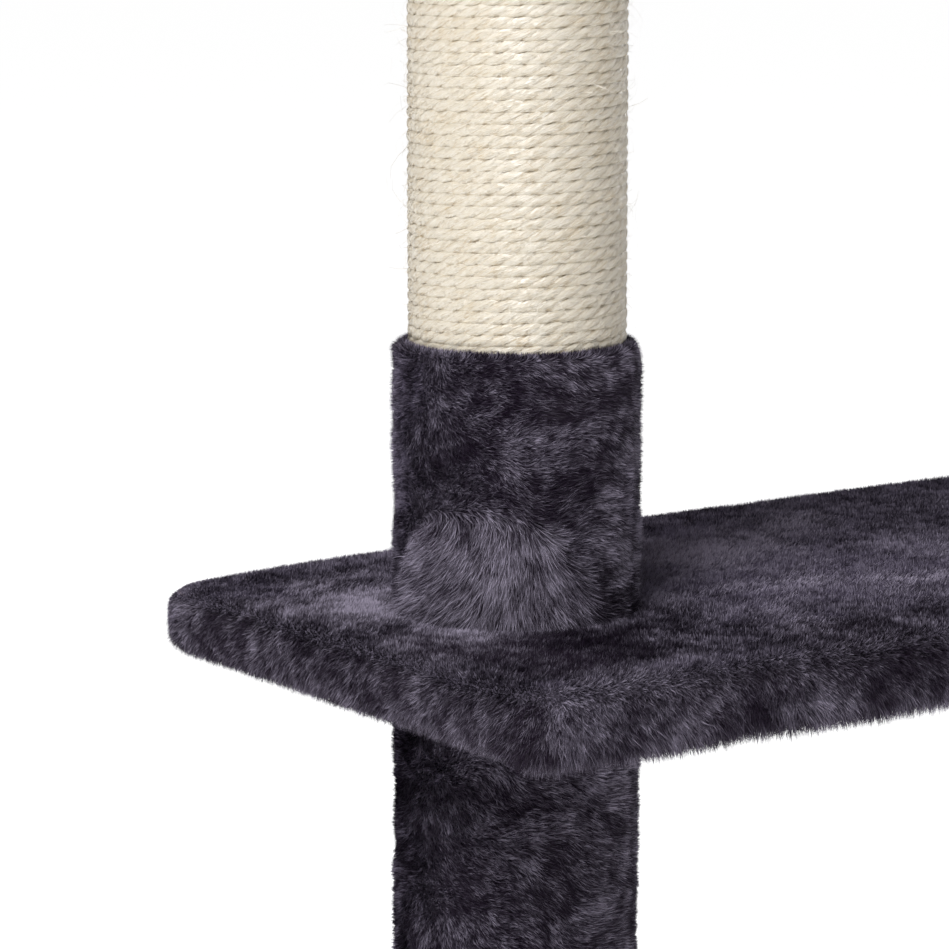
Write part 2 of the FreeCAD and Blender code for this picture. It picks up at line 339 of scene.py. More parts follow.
def rope_material(rope):
    """Twisted sisal: the second UV map holds metres along the rope and turns round a strand."""
    material, tree, shader = new_material("sisal_rope")
    place = add_node(tree, "ShaderNodeUVMap", uv_map="Strand").outputs["UV"]
    parts = add_node(tree, "ShaderNodeSeparateXYZ", (0, place))
    along, around = parts.outputs["X"], parts.outputs["Y"]

    def fibres(fine_along, fine_around, detail):
        stretched = add_node(
            tree, "ShaderNodeCombineXYZ",
            (0, calc(tree, "MULTIPLY", along, fine_along)),
            (1, calc(tree, "MULTIPLY", around, fine_around)),
        )
        texture = add_node(
            tree, "ShaderNodeTexNoise", ("Vector", stretched.outputs[0]),
            ("Scale", 1.0), ("Detail", detail),
        )
        return texture.outputs["Fac"]

    hairs = fibres(110.0, 42.0, 4.0)
    strands = fibres(60.0, 9.0, 2.0)
    patches = fibres(14.0, 0.7, 3.0)
    lobe = calc(tree, "ABSOLUTE", calc(tree, "COSINE", calc(tree, "MULTIPLY", around, 3 * math.pi)))
    crest = spread(tree, lobe, 0.0, 0.35, 0.6, 1.0)
    tint = mix_colour(tree, spread(tree, strands, 0.35, 0.7), (0.76, 0.70, 0.58), rope.pale)
    tint = mix_colour(tree, spread(tree, patches, 0.50, 0.75, 0.0, 0.5), tint, (0.66, 0.55, 0.38))
    streaked = mix_colour(tree, spread(tree, hairs, 0.50, 0.70, 0.0, 0.5), tint, (0.62, 0.50, 0.32))
    # Painted shade: in the valleys between strands up to 40% of the colour is rope.deep.
    colour = mix_colour(tree, crest, rope.deep, streaked)
    # Painted shade: in the grooves between turns up to 75% of the colour is rope.deep.
    between = tree.nodes.new("ShaderNodeAttribute")
    between.attribute_name = "groove"
    colour = mix_colour(tree, calc(tree, "MULTIPLY", between.outputs["Fac"], 0.75), colour, rope.deep)
    tree.links.new(colour, shader.inputs["Base Color"])
    shader.inputs["Roughness"].default_value = 0.34
    shader.inputs["Specular IOR Level"].default_value = 1.0
    shader.inputs["IOR"].default_value = 1.7
    height = calc(tree, "ADD", hairs, calc(tree, "MULTIPLY", strands, 1.2))
    height = calc(tree, "MULTIPLY_ADD", spread(tree, lobe, 0.0, 0.6), 0.6, height)
    bumped(tree, shader, height, 0.9, 0.5 * MM)
    return material


def stray_material():
    """Loose sisal hairs."""
    material, tree, shader = new_material("sisal_hair")
    place = add_node(tree, "ShaderNodeUVMap", uv_map="OFBake").outputs["UV"]
    tone = add_node(tree, "ShaderNodeSeparateXYZ", (0, place)).outputs["X"]
    # The dark ochre end colours the fibres lying in the rope's grooves, a painted groove shade, and the
    # darker random hairs.
    colour = mix_colour(tree, spread(tree, tone, 0.05, 0.6), (0.52, 0.37, 0.17), (0.79, 0.735, 0.635))
    tree.links.new(colour, shader.inputs["Base Color"])
    shader.inputs["Roughness"].default_value = 0.34
    shader.inputs["Specular IOR Level"].default_value = 1.0
    shader.inputs["IOR"].default_value = 1.7
    return material


def board_material(name, light, dark, fine, stretch):
    """Fibreboard and cardboard: pressed fibre specks over a mottled ground."""
    material, tree, shader = new_material(name)
    speckle = place_speckle(tree, fine, 35.0, stretch)
    ground = mix_colour(tree, speckle.outputs["Coarse"], dark, light)
    specks = spread(tree, speckle.outputs["Fine"], 0.6, 1.0, 0.0, 0.6)
    tree.links.new(mix_colour(tree, specks, ground, dark), shader.inputs["Base Color"])
    tree.links.new(
        spread(tree, speckle.outputs["Fine"], 0.0, 1.0, 0.7, 0.92), shader.inputs["Roughness"]
    )
    bumped(tree, shader, speckle.outputs["Fine"], 0.4, 0.2 * MM)
    return material


def felt_material():
    """Pressed black felt with pale lint."""
    material, tree, shader = new_material("felt")
    speckle = place_speckle(tree, 1600.0, 90.0)
    ground = mix_colour(tree, speckle.outputs["Coarse"], (0.020, 0.019, 0.022), (0.042, 0.040, 0.046))
    lint = spread(tree, speckle.outputs["Fine"], 0.72, 1.0, 0.0, 0.5)
    tree.links.new(mix_colour(tree, lint, ground, (0.13, 0.12, 0.13)), shader.inputs["Base Color"])
    shader.inputs["Roughness"].default_value = 0.95
    shader.inputs["Sheen Weight"].default_value = 0.08
    bumped(tree, shader, speckle.outputs["Fine"], 0.7, 0.5 * MM)
    return material


def foam_material():
    """Open-celled foam."""
    material, tree, shader = new_material("foam")
    place = tree.nodes.new("ShaderNodeTexCoord").outputs["Object"]
    cells = add_node(tree, "ShaderNodeTexVoronoi", ("Vector", place), ("Scale", 900.0))
    pores = spread(tree, cells.outputs["Distance"], 0.1, 0.6)
    colour = mix_colour(tree, pores, (0.45, 0.41, 0.30), (0.80, 0.76, 0.62))
    tree.links.new(colour, shader.inputs["Base Color"])
    shader.inputs["Roughness"].default_value = 0.9
    bumped(tree, shader, pores, 0.6, 0.4 * MM)
    return material


def steel_material(name, colour, stretch):
    """Plated steel with handling marks."""
    material, tree, shader = new_material(name)
    speckle = place_speckle(tree, 700.0, 120.0, stretch)
    dull = mix_colour(tree, speckle.outputs["Coarse"], colour, [0.72 * c for c in colour])
    tree.links.new(dull, shader.inputs["Base Color"])
    shader.inputs["Metallic"].default_value = 1.0
    tree.links.new(
        spread(tree, speckle.outputs["Fine"], 0.0, 1.0, 0.24, 0.46), shader.inputs["Roughness"]
    )
    bumped(tree, shader, speckle.outputs["Fine"], 0.12, 0.1 * MM)
    return material


# ------------------------------------------------------------------ mesh helpers


def mesh_object(name, points, faces, material=None):
    """A linked mesh object from points in metres and faces."""
    mesh = bpy.data.meshes.new(name)
    mesh.from_pydata([tuple(p) for p in points], [], faces)
    mesh.update()
    piece = bpy.data.objects.new(name, mesh)
    bpy.context.scene.collection.objects.link(piece)
    if material:
        mesh.materials.append(material)
    mesh.polygons.foreach_set("use_smooth", [True] * len(mesh.polygons))
    return piece


def ring_faces(rings, around, closed=False):
    """Quads between neighbouring rings of points; closed joins the last ring to the first."""
    faces = []
    for i in range(rings if closed else rings - 1):
        near, far = i * around, (i + 1) % rings * around
        for j in range(around):
            k = (j + 1) % around
            faces.append((near + j, near + k, far + k, far + j))
    return faces


def turned_points(centre, profile, around):
    """Points of a turned surface: a level ring for each (radius, height) of the profile."""
    points = []
    for radius, height in profile:
        for i in range(around):
            angle = 2 * math.pi * i / around
            x, y = centre.x + radius * math.cos(angle), centre.y + radius * math.sin(angle)
            points.append((x, y, height))
    return points


def face_outwards(piece, merge=0.0):
    """Merges doubled points and turns every face outwards."""
    work = bmesh.new()
    work.from_mesh(piece.data)
    if merge:
        bmesh.ops.remove_doubles(work, verts=work.verts, dist=merge)
    bmesh.ops.recalc_face_normals(work, faces=work.faces)
    work.to_mesh(piece.data)
    work.free()


def points_of(mesh):
    """(points, normals) of a mesh's vertices as arrays."""
    points = np.zeros(len(mesh.vertices) * 3)
    normals = np.zeros(len(mesh.vertices) * 3)
    mesh.vertices.foreach_get("co", points)
    mesh.vertex_normals.foreach_get("vector", normals)
    return points.reshape(-1, 3), normals.reshape(-1, 3)


def wander(points, size, seed=0.0):
    """Smooth noise from -1 to 1 at each point, with features about size metres across."""
    shift = Vector((seed * 3.1, seed * 1.7, seed * 5.3))
    return np.array([noise.noise(Vector(p) / size + shift) for p in points])


def unit(vectors):
    """Vectors brought to length one."""
    return vectors / np.maximum(np.linalg.norm(vectors, axis=1, keepdims=True), 1e-9)


def smooth_step(value, low, high):
    """0 below low, 1 above high, and a smooth rise between."""
    t = np.clip((value - low) / (high - low), 0, 1)
    return t * t * (3 - 2 * t)


def set_attribute(mesh, name, values):
    """Writes a number or a vector for each point of a mesh."""
    values = np.asarray(values, np.float32)
    vector = values.ndim == 2
    kind, field = ("FLOAT_VECTOR", "vector") if vector else ("FLOAT", "value")
    layer = mesh.attributes.get(name) or mesh.attributes.new(name, kind, "POINT")
    layer.data.foreach_set(field, values.ravel())


def in_view(points, normals):
    """1 where a surface faces the camera inside its frame, 0 elsewhere."""
    camera = bpy.context.scene.camera
    away = points - np.array(camera.location)
    local = away @ np.array(camera.rotation_euler.to_matrix())
    half = camera.data.sensor_width / camera.data.lens / 2
    across = np.abs(local[:, :2] / (half * local[:, 2:])).max(axis=1)
    facing = -(unit(away) * normals).sum(axis=1)
    return (1 - smooth_step(across, 1.03, 1.08)) * smooth_step(facing, -0.8, -0.6)


def out_of_view(points, normals):
    """The rest of a surface."""
    return 1 - in_view(points, normals)


def oval_marks(spots, marks):
    """Soft oval marks summed at each spot: each is (middle, half size, strength) in mm. On the pile's tone
    they are painted light and shade; pressed marks are depths in mm.
    """
    total = np.zeros(len(spots))
    for middle, half_size, strength in marks:
        off = (spots / MM - np.array(middle)) / np.array(half_size)
        total += strength * np.exp(-(off**2).sum(axis=1))
    return total


def finish_piece(piece, replaced=()):
    """Hooks a finished piece to the frame."""
    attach(piece, BODY)
    if replaced:
        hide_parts(*replaced)
    return piece


# ------------------------------------------------------------------ plush skins


def outline(half_x, half_y, radius, steps):
    """Points round a rounded rectangle; steps are for the X sides, the Y sides and a corner."""
    on_x, on_y, on_corner = steps
    points = []
    for quarter, (side_x, side_y) in enumerate(((1, 1), (-1, 1), (-1, -1), (1, -1))):
        centre = np.array((side_x * (half_x - radius), side_y * (half_y - radius)))
        angles = math.pi / 2 * (quarter + np.arange(on_corner + 1) / on_corner)
        arc = centre + radius * np.stack((np.cos(angles), np.sin(angles)), axis=1)
        points += list(arc)
        straight = on_x if quarter % 2 == 0 else on_y
        length = 2 * ((half_x if quarter % 2 == 0 else half_y) - radius)
        along = np.array(((-1, 0), (0, -1), (1, 0), (0, 1))[quarter])
        points += [arc[-1] + along * length * i / straight for i in range(1, straight)]
    return np.array(points)


def wrap_profile(low, high, hem, edge, half_y, step):
    """(inset, height) of each ring from the hem's inner edge, round the side, to the middle."""
    turn = np.linspace(0, math.pi / 2, 5)
    rings = [(hem - i * (hem - edge) / 7, low) for i in range(7)]
    rings += [(edge * (1 - math.sin(a)), low + edge * (1 - math.cos(a))) for a in turn]
    count = max(2, round((high - low - 2 * edge) / step) + 1)
    rings += [(0.0, h) for h in np.linspace(low + edge, high - edge, count)[1:-1]]
    rings += [(edge * (1 - math.cos(a)), high - edge * (1 - math.sin(a))) for a in turn]
    count = round((half_y - edge) / step)
    rings += [(edge + (half_y - edge) * i / count, high) for i in range(1, count)]
    return rings + [(half_y - 0.2 * MM, high)]


def cut_round(piece, x, y, radius, face_z, end_z):
    """Opens a round hole for a post in a level face and turns its rim in to end_z."""
    work = bmesh.new()
    work.from_mesh(piece.data)

    def near(point, reach):
        return math.hypot(point.x - x, point.y - y) < reach and abs(point.z - face_z) < 3 * MM

    gone = [f for f in work.faces if near(f.calc_center_median(), radius)]
    bmesh.ops.delete(work, geom=gone, context="FACES")
    rim = [e for e in work.edges if e.is_boundary and all(near(v.co, radius + 8 * MM) for v in e.verts)]
    turned_in = {}
    for vert in (v for e in rim for v in e.verts):
        if vert not in turned_in:
            away = Vector((vert.co.x - x, vert.co.y - y, 0)).normalized() * radius
            vert.co.x, vert.co.y = x + away.x, y + away.y
            turned_in[vert] = work.verts.new((vert.co.x, vert.co.y, end_z))
    for first, second in (e.verts for e in rim):
        wall = work.faces.new((first, second, turned_in[second], turned_in[first]))
        wall.smooth = True
    bmesh.ops.recalc_face_normals(work, faces=work.faces)
    work.to_mesh(piece.data)
    work.free()


def wrap_skin(name, node, under, holes, crown=0.0, step=5 * MM, pressed=()):
    """The plush's backing round a board: hem, sides and top as one sheet.

    under is the hem's thickness; holes are (x, whether it is on top) of the posts' ends;
    pressed are oval marks where the plush lies flatter, their strength in millimetres."""
    depth = bpy.context.scene.cattree_plush.stand_off - MM
    low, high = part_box(node)
    centre = (low + high) / 2
    half_x, half_y = (high.x - low.x) / 2 - depth, (high.y - low.y) / 2 - depth
    bottom, top = low.z + min(depth, 0.4 * under), high.z - depth
    edge = min(BOARD_PLUSH_EDGE, 0.45 * (top - bottom))
    steps = (round(2 * half_x / step), round(2 * half_y / step), 6)
    rings = wrap_profile(bottom, top, HEM_WIDTH, edge, half_y, step)
    points = []
    for inset, height in rings:
        ring = outline(half_x - inset, half_y - inset, max(BOARD_PLUSH_CORNER - inset, 0.15 * MM), steps)
        lift = 0.0
        if height > top - MM:
            sides = (1 - (ring[:, 0] / half_x) ** 4) * (1 - (ring[:, 1] / half_y) ** 4)
            lift = crown * np.clip(sides, 0, 1)
        points.append(np.column_stack((ring + (centre.x, centre.y), np.full(len(ring), height) + lift)))
    faces = ring_faces(len(points), len(points[0]))
    piece = mesh_object(name, np.concatenate(points), faces)
    face_outwards(piece, merge=0.3 * MM)
    work = bmesh.new()
    work.from_mesh(piece.data)
    slit = [e for e in work.edges if e.is_boundary and all(v.co.z > top - MM for v in e.verts)]
    if slit:
        bmesh.ops.holes_fill(work, edges=slit)
    work.to_mesh(piece.data)
    work.free()
    board_low, board_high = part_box(node.replace("_cover", "_board"))
    for x, on_top in holes:
        face_z, end_z = (top, board_high.z + 0.3 * MM) if on_top else (bottom, board_low.z - 0.3 * MM)
        cut_round(piece, x, centre.y, POST_R - 0.4 * MM, face_z, end_z)
    roughen(piece, 0.7 * MM)
    points, normals = points_of(piece.data)
    points[:, 2] -= MM * oval_marks(points, pressed) * smooth_step(normals[:, 2], 0.2, 0.7)
    piece.data.vertices.foreach_set("co", points.ravel())
    piece.data.update()
    return piece


def roughen(piece, amount):
    """Soft lumps in the plush, along its normals; amount is one number or one for each point."""
    points, normals = points_of(piece.data)
    lumps = 0.7 * wander(points, 28 * MM, 1) + 0.3 * wander(points, 9 * MM, 2)
    moved = points + normals * (amount * lumps)[:, None]
    piece.data.vertices.foreach_set("co", moved.ravel())
    piece.data.update()


def sleeve_skin(name, node, open_ends):
    """A post's plush backing: a tube whose rims roll in; open_ends are where rope goes under."""
    depth = bpy.context.scene.cattree_plush.stand_off
    low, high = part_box(node)
    centre = (low + high) / 2
    outer, inner, roped = POST_R - depth, TUBE_R + 0.5 * MM, TUBE_R + 3.75 * MM
    edge, step, around, tuck = 2.3 * MM, 3.0 * MM, 96, 7 * MM
    open_end, closed_end = 5.2 * MM, 0.6 * MM
    bottom = low.z + (open_end if "bottom" in open_ends else closed_end)
    top = high.z - (open_end if "top" in open_ends else closed_end)
    turn = np.linspace(0, math.pi / 2, 4)
    count = round((top - bottom - 2 * edge) / step)
    profile = [(outer - edge + edge * math.sin(a), bottom + edge * (1 - math.cos(a))) for a in turn]
    profile += [(outer, z) for z in np.linspace(bottom + edge, top - edge, count)[1:-1]]
    profile += [(outer - edge + edge * math.cos(a), top - edge * (1 - math.sin(a))) for a in turn]
    mouth = roped if "top" in open_ends else inner
    profile += [(mouth, top), (mouth, top - tuck), (inner, top - tuck - MM)]
    mouth = roped if "bottom" in open_ends else inner
    profile += [(inner, bottom + tuck + MM), (mouth, bottom + tuck), (mouth, bottom)]
    points = turned_points(centre, profile, around)
    piece = mesh_object(name, points, ring_faces(len(profile), around, closed=True))
    face_outwards(piece)
    spoke = points_of(piece.data)[0][:, :2] - (centre.x, centre.y)
    outside = np.linalg.norm(spoke, axis=1) > TUBE_R + 5.2 * MM
    roughen(piece, 0.6 * MM * outside)
    return piece


# ------------------------------------------------------------------ pile


def tuft_template():
    """One tuft: a single blade, as wide as it is long before it is scaled, with its tip at +Y."""
    piece = mesh_object("tuft_template", [(-0.5, 0, 0), (0.5, 0, 0), (0, 1, 0)], [(0, 1, 2)])
    set_attribute(piece.data, "along", [0.0, 0.0, 1.0])
    set_attribute(piece.data, "side", [-1.0, 1.0, 0.0])
    return piece


def hair_template():
    """One loose sisal hair: a narrow bent ribbon of unit length."""
    rise = 0.35
    points, faces = [], []
    for i, share in enumerate((0.0, 0.3, 0.65, 1.0)):
        half = 0.5 * (1 - share * 0.6)
        arch = rise * math.sin(share * 2.4)
        points += [(-half, share, arch), (half, share, arch)]
        if i:
            faces.append((2 * i - 2, 2 * i - 1, 2 * i + 1, 2 * i))
    piece = mesh_object("hair_template", points, faces)
    set_attribute(piece.data, "along", [p[1] for p in points])
    set_attribute(piece.data, "side", [-1.0, 1.0] * 4)
    return piece


def growth_tree():
    """Geometry nodes that grow tufts from a surface.

    The surface's points carry comb (direction), grow (share of the density), reach (share
    of the length), lean (radians above the surface) and tone (0 to 1)."""
    name = "Grow tufts"
    if name in bpy.data.node_groups:
        return bpy.data.node_groups[name]
    tree, given, result = new_group(
        name, "GeometryNodeTree",
        [("Geometry", "NodeSocketGeometry"), ("Density", "NodeSocketFloat", 1e6),
         ("Length", "NodeSocketFloat", 0.008), ("Width", "NodeSocketFloat", 0.0006),
         ("Disorder", "NodeSocketFloat", 0.5), ("Tone spread", "NodeSocketFloat", 0.25),
         ("Lock size", "NodeSocketFloat", 0.004), ("Lock turn", "NodeSocketFloat", 0.5),
         ("Lock tone", "NodeSocketFloat", 0.2),
         ("Seed", "NodeSocketInt", 0), ("Tuft", "NodeSocketObject"),
         ("Material", "NodeSocketMaterial")],
        [("Geometry", "NodeSocketGeometry")],
    )
    take = given.outputs

    def carried(label, kind="FLOAT"):
        node = add_node(tree, "GeometryNodeInputNamedAttribute", ("Name", label), data_type=kind)
        return node.outputs[0]

    def chance(low, high, shift):
        seed = calc(tree, "ADD", take["Seed"], float(shift))
        node = add_node(
            tree, "FunctionNodeRandomValue", (2, low), (3, high), ("Seed", seed), data_type="FLOAT"
        )
        return node.outputs[1]

    place = tree.nodes.new("GeometryNodeInputPosition").outputs[0]

    def lock(shift, finer=1.0):
        shifted = vector_calc(tree, "ADD", place, (shift, 2 * shift, -shift))
        scale = calc(tree, "DIVIDE", finer, take["Lock size"])
        node = add_node(
            tree, "ShaderNodeTexNoise", ("Vector", shifted), ("Scale", scale), ("Detail", 1.0)
        )
        return calc(tree, "MULTIPLY_ADD", node.outputs[0], 4.0, -2.0)

    scatter = add_node(
        tree, "GeometryNodeDistributePointsOnFaces", ("Mesh", take["Geometry"]),
        ("Density", calc(tree, "MULTIPLY", take["Density"], carried("grow"))),
        ("Seed", take["Seed"]), distribute_method="RANDOM",
    )
    normal = scatter.outputs["Normal"]
    comb = carried("comb", "FLOAT_VECTOR")
    upward = vector_calc(tree, "SCALE", normal, scale=vector_calc(tree, "DOT_PRODUCT", comb, normal))
    comb = vector_calc(tree, "NORMALIZE", vector_calc(tree, "SUBTRACT", comb, upward))
    across = vector_calc(tree, "CROSS_PRODUCT", normal, comb)
    stray = calc(tree, "MULTIPLY", chance(-1.0, 1.0, 11), take["Disorder"])
    stray = calc(tree, "MULTIPLY_ADD", lock(0.1), take["Lock turn"], stray)
    comb = vector_calc(
        tree, "ADD",
        vector_calc(tree, "SCALE", comb, scale=calc(tree, "COSINE", stray)),
        vector_calc(tree, "SCALE", across, scale=calc(tree, "SINE", stray)),
    )
    lean = calc(tree, "MULTIPLY", carried("lean"), chance(0.55, 1.45, 23))
    lean = calc(tree, "MULTIPLY", lean, calc(tree, "MULTIPLY_ADD", lock(0.3), 0.3, 1.0))
    growth = vector_calc(
        tree, "ADD",
        vector_calc(tree, "SCALE", comb, scale=calc(tree, "COSINE", lean)),
        vector_calc(tree, "SCALE", normal, scale=calc(tree, "SINE", lean)),
    )
    width_way = vector_calc(tree, "CROSS_PRODUCT", comb, normal)
    turn = add_node(
        tree, "FunctionNodeAxesToRotation", (0, growth), (1, width_way),
        primary_axis="Y", secondary_axis="X",
    )
    roll = add_node(
        tree, "FunctionNodeAxisAngleToRotation", ("Axis", (0, 1, 0)),
        ("Angle", chance(-0.6, 0.6, 31)),
    )
    turned = add_node(
        tree, "FunctionNodeRotateRotation", (0, turn.outputs[0]), (1, roll.outputs[0]),
        rotation_space="LOCAL",
    )
    length = calc(tree, "MULTIPLY", take["Length"], carried("reach"))
    length = calc(tree, "MULTIPLY", length, chance(0.65, 1.2, 43))
    width = calc(tree, "MULTIPLY", take["Width"], chance(0.7, 1.25, 57))
    size = add_node(tree, "ShaderNodeCombineXYZ", (0, width), (1, length), (2, length))
    tuft = add_node(tree, "GeometryNodeObjectInfo", ("Object", take["Tuft"]))
    copies = add_node(
        tree, "GeometryNodeInstanceOnPoints", ("Points", scatter.outputs["Points"]),
        ("Instance", tuft.outputs["Geometry"]), ("Rotation", turned.outputs[0]),
        ("Scale", size.outputs[0]),
    )
    uneven = calc(tree, "MULTIPLY", chance(-1.0, 1.0, 71), take["Tone spread"])
    tone = calc(tree, "ADD", carried("tone"), uneven)
    tone = calc(tree, "MULTIPLY_ADD", lock(0.2, 2.4), take["Lock tone"], tone)
    tone = calc(tree, "MULTIPLY_ADD", lock(0.4, 0.5), take["Lock tone"], tone)
    marked = add_node(
        tree, "GeometryNodeStoreNamedAttribute", ("Geometry", copies.outputs[0]),
        ("Name", "shade"), ("Value", calc(tree, "MINIMUM", calc(tree, "MAXIMUM", tone, 0.03), 0.97)),
        data_type="FLOAT", domain="INSTANCE",
    )
    plain = add_node(tree, "GeometryNodeRealizeInstances", ("Geometry", marked.outputs[0]))
    sideways = calc(tree, "MULTIPLY", carried("side"), 0.012)
    along = calc(tree, "MULTIPLY_ADD", carried("along"), 0.96, 0.02)
    spot = add_node(
        tree, "ShaderNodeCombineXYZ", (0, calc(tree, "ADD", carried("shade"), sideways)), (1, along)
    )
    mapped = add_node(
        tree, "GeometryNodeStoreNamedAttribute", ("Geometry", plain.outputs[0]),
        ("Name", "OFBake"), ("Value", spot.outputs[0]), data_type="FLOAT2", domain="CORNER",
    )
    coloured = add_node(
        tree, "GeometryNodeSetMaterial", ("Geometry", mapped.outputs[0]),
        ("Material", take["Material"]),
    )
    tree.links.new(coloured.outputs[0], result.inputs[0])
    return tree


def grow(name, surface, tuft, material, density, length, width, seed, **more):
    """Grows tufts on a surface and returns them as one plain mesh."""
    carrier = bpy.data.objects.new(name + "_carrier", surface.data.copy())
    bpy.context.scene.collection.objects.link(carrier)
    tree = growth_tree()
    modifier = carrier.modifiers.new("Grow", "NODES")
    modifier.node_group = tree
    wanted = {
        "Density": density, "Length": length, "Width": width, "Seed": seed, "Tuft": tuft,
        "Material": material,
    }
    wanted.update({label.replace("_", " ").capitalize(): value for label, value in more.items()})
    for item in tree.interface.items_tree:
        if item.item_type == "SOCKET" and item.in_out == "INPUT" and item.name in wanted:
            modifier[item.identifier] = wanted.pop(item.name)
    if wanted:
        raise RuntimeError(f"the tuft tree has no input {sorted(wanted)}")
    graph = bpy.context.evaluated_depsgraph_get()
    mesh = bpy.data.meshes.new_from_object(carrier.evaluated_get(graph), depsgraph=graph)
    mesh.name = name
    for extra in ("along", "side", "shade"):
        if extra in mesh.attributes:
            mesh.attributes.remove(mesh.attributes[extra])
    bpy.data.objects.remove(carrier)
    if not mesh.polygons:
        raise RuntimeError(name + " grew nothing")
    piece = bpy.data.objects.new(name, mesh)
    bpy.context.scene.collection.objects.link(piece)
    return piece


def comb_surface(piece, rule, zone=None):
    """Writes the growth fields that rule works out for each point; zone thins them."""
    points, normals = points_of(piece.data)
    fields = rule(points, normals)
    if zone is not None:
        fields = dict(fields, grow=fields["grow"] * zone(points, normals))
    for label, values in fields.items():
        set_attribute(piece.data, label, values)


# ------------------------------------------------------------------ how the pile lies

BRUSHED_SIDE = math.radians(-125.2)
SEAM_ARC = math.radians(70) * POST_R
SLEEVE_TONE = 0.33
BOARD_TONE = 0.38
HEM_PILE_SHARE = 0.5

# Painted light and shade on the lower collar's pile: lit bands at its left and right edges, painted shade
# under its top rim, and lighter and darker patches.
COLLAR_PAINTED_LIGHT = (
    ((2, 96), (15, 10), -0.26), ((26, 94), (22, 9), -0.26), ((43, 90), (9, 14), -0.08),
    ((-37, 94), (14, 11), 0.10), ((-22, 68), (16, 13), -0.24), ((8, 73), (20, 7), 0.08),
    ((14, 58), (19, 7), -0.24), ((-3, 27), (25, 17), 0.30), ((47, 30), (12, 28), 0.30),
    ((33, 20), (4, 15), -0.22), ((-43, 26), (12, 24), 0.12),
    ((52, 62), (6, 14), 0.12), ((-62, 58), (20, 52), 0.42), ((31, 73), (9, 9), -0.22),
    ((25, 60), (12, 8), -0.20), ((66, 30), (12, 34), 0.30),
)


def sleeve_rule(node, seed, fan_top, marks):
    """How the pile lies on a post: streaks round it, and below fan_top a fan brushed down.

    marks are oval marks of painted light and shade on (millimetres round the post from the brushed side,
    height)."""
    low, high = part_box(node)
    centre = (low + high) / 2

    def rule(points, normals):
        spoke = points[:, :2] - (centre.x, centre.y)
        around = np.arctan2(spoke[:, 1], spoke[:, 0])
        arc = (np.mod(around - BRUSHED_SIDE + math.pi, 2 * math.pi) - math.pi) * POST_R
        height = points[:, 2] - low.z
        right = np.stack((-np.sin(around), np.cos(around), 0 * around), axis=1)
        swirl = wander(points, 24 * MM, seed) + 0.5 * wander(points, 9 * MM, seed + 1)
        level = 1.3 * swirl - 0.15
        fan = -math.pi / 2 + np.clip(arc / (40 * MM), -1.1, 1.1) * 0.9 + 0.3 * swirl
        dome = 24 * MM * np.minimum(np.abs(arc / MM + 16) / 40, 2) ** 2.5
        border = fan_top - dome + 7 * MM * wander(points, 20 * MM, seed + 2)
        brushed = 1 - smooth_step(height, border - 6 * MM, border + 6 * MM)
        if not fan_top:
            brushed = 0 * brushed
        x = (1 - brushed) * np.cos(level) + brushed * np.cos(fan)
        z = (1 - brushed) * np.sin(level) + brushed * np.sin(fan)
        comb = right * x[:, None] + np.array((0, 0, 1.0)) * z[:, None]
        streaked = points * (1, 1, 2.0)
        patches = wander(streaked, 26 * MM, seed + 3) + 0.9 * wander(streaked, 10 * MM, seed + 4)
        # Along the seam the tufts are shorter and their tone is darkened, a painted shade.
        crease = np.exp(-(((arc - SEAM_ARC) / (2.2 * MM)) ** 2))
        painted_light = oval_marks(np.column_stack((arc, height)), marks)
        # Tone: random patches, a slight lift in the fan, the marks' painted light and shade, and painted
        # shade along the seam.
        shade = SLEEVE_TONE + (0.30 - 0.14 * brushed) * patches + 0.05 * brushed + painted_light - 0.3 * crease
        outside = np.linalg.norm(spoke, axis=1) > ROPED_R
        rim = smooth_step(np.abs(normals[:, 2]), 0.2, 0.7)
        inward = -np.column_stack((unit(spoke), np.zeros(len(spoke))))
        comb = comb * (1 - rim)[:, None] + inward * rim[:, None]
        length = (0.52 + 0.50 * brushed + 0.08 * swirl) * (1 - 0.5 * rim) * (1 - 0.45 * crease)
        return {
            "comb": unit(comb),
            "grow": outside.astype(float),
            "reach": length,
            "lean": np.clip(0.66 - 0.34 * brushed + 0.25 * patches, 0.2, 1.1) * (1 - rim) + 0.95 * rim,
            "tone": np.clip(shade, 0.05, 0.90),
        }

    return rule


SHELF_PRESSED = (((-302, 124, 392), (42, 34, 20), 2.2),)

